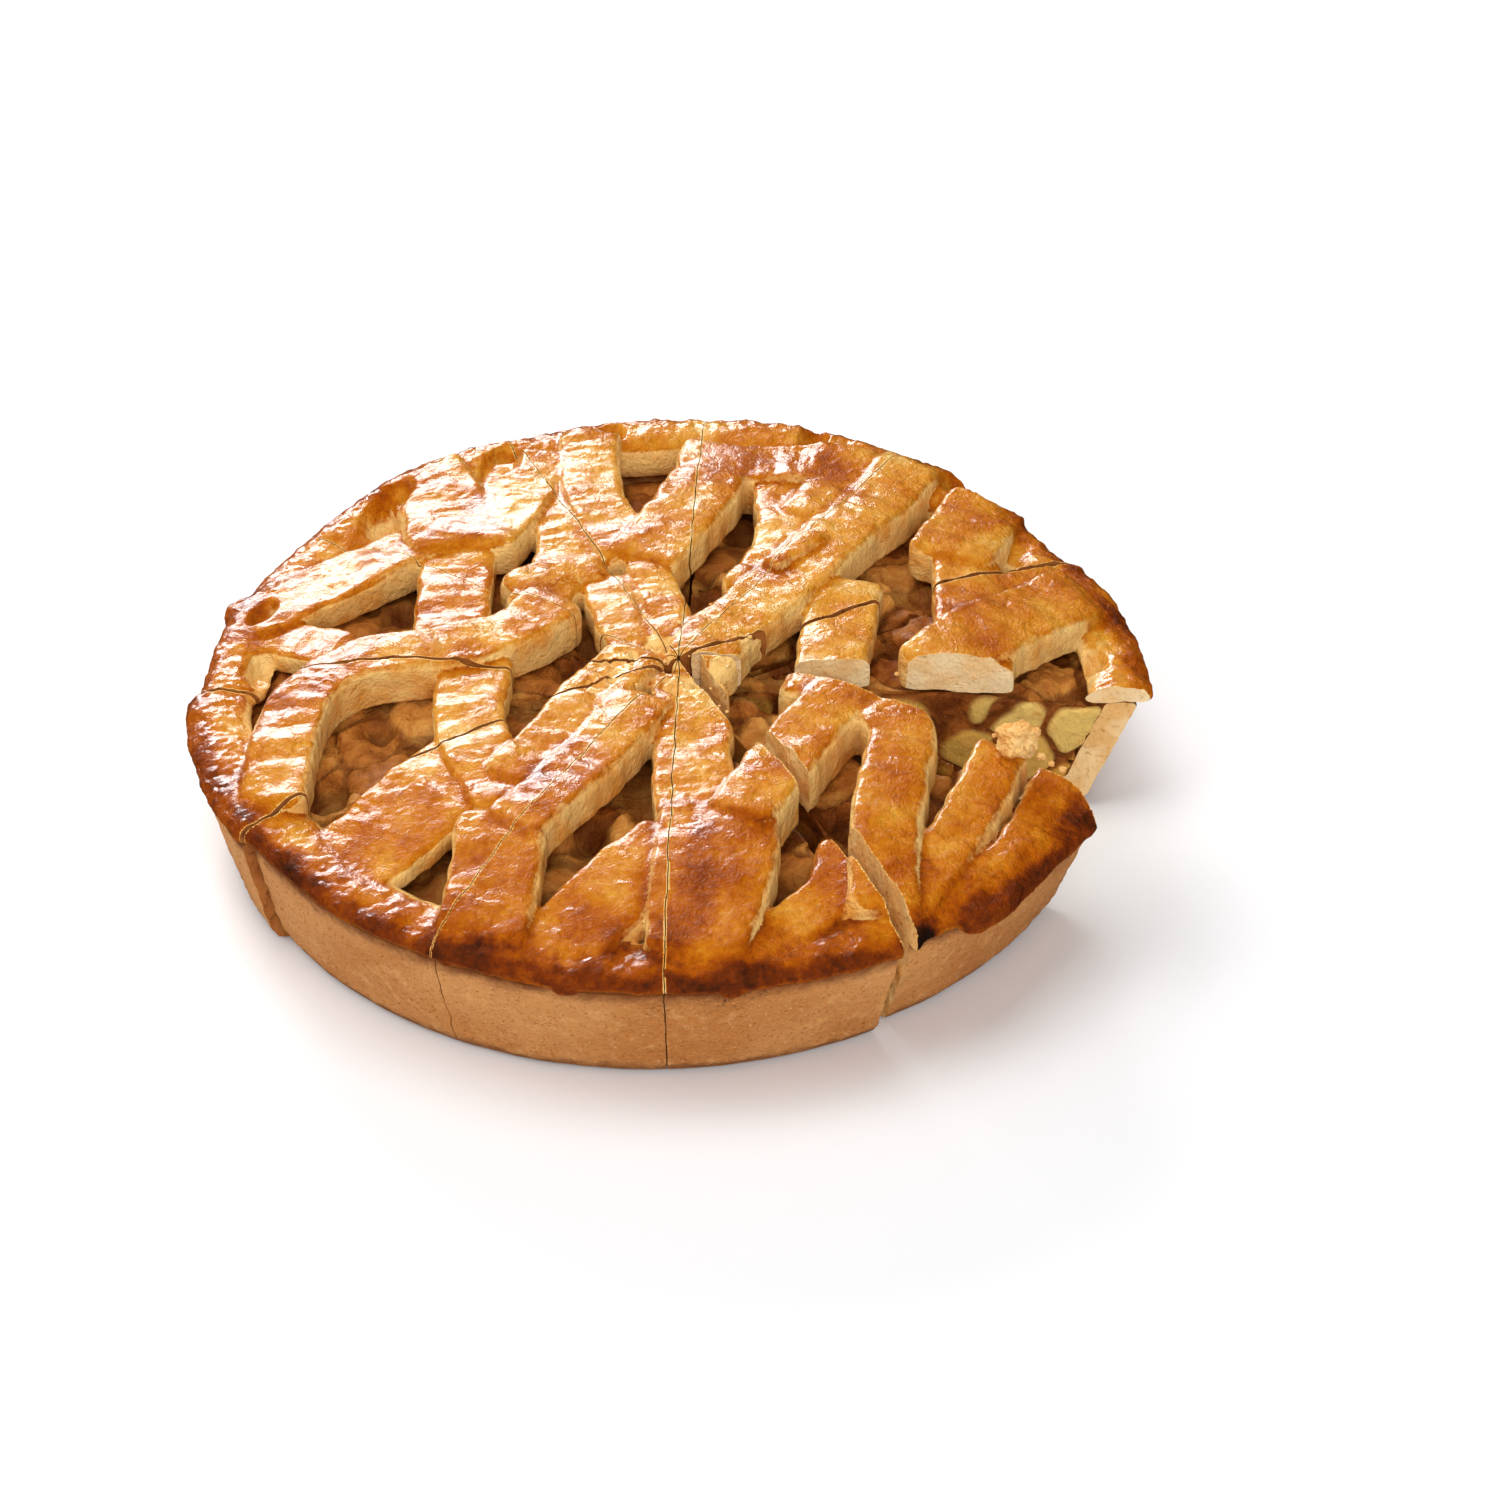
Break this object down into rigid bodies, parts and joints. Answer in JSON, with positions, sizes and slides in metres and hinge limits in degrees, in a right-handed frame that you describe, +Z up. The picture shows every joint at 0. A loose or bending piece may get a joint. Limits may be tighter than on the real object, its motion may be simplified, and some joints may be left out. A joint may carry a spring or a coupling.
{
  "type": "apple pie",
  "caption": "Deep round fruit pie with a woven dough lattice, cut into slices that keep its shape, with one slice taken out so that the filling shows.",
  "frame": {"origin": "middle of the base's underside box, on the surface that the pie stands on", "axes": "+Z up, +X towards the side where one slice is taken out, -Y towards the viewer"},
  "size_m": [0.285, 0.2798, 0.0625],
  "materials": {
    "pie_crust": "matt sandy shortcrust with fine grain, cracks and a darker seam under the rim",
    "fruit_filling": "moist cinnamon apple filling, brown jelly between pale apple chunks",
    "baked_lattice": "egg-glazed golden brown dough with fine wrinkles, pale sides and dark burnt rim"
  },
  "bodies": {
    "root": {"crust_01": "pie_crust", "crust_02": "pie_crust", "crust_03": "pie_crust", "crust_04": "pie_crust", "crust_05": "pie_crust", "crust_06": "pie_crust", "crust_07": "pie_crust", "crust_08": "pie_crust", "crust_09": "pie_crust", "crust_10": "pie_crust", "crust_11": "pie_crust", "filling_01": "fruit_filling", "filling_02": "fruit_filling", "filling_03": "fruit_filling", "filling_04": "fruit_filling", "filling_05": "fruit_filling", "filling_06": "fruit_filling", "filling_07": "fruit_filling", "filling_08": "fruit_filling", "filling_09": "fruit_filling", "filling_10": "fruit_filling", "filling_11": "fruit_filling", "lattice_01": "baked_lattice", "lattice_01_a": "baked_lattice", "lattice_01_b": "baked_lattice", "lattice_02": "baked_lattice", "lattice_03": "baked_lattice", "lattice_04": "baked_lattice", "lattice_05": "baked_lattice", "lattice_06": "baked_lattice", "lattice_06_a": "baked_lattice", "lattice_06_b": "baked_lattice", "lattice_07": "baked_lattice", "lattice_07_a": "baked_lattice", "lattice_08": "baked_lattice", "lattice_09": "baked_lattice", "lattice_10": "baked_lattice", "lattice_11": "baked_lattice", "lattice_11_a": "baked_lattice"}
  },
  "joints": []
}
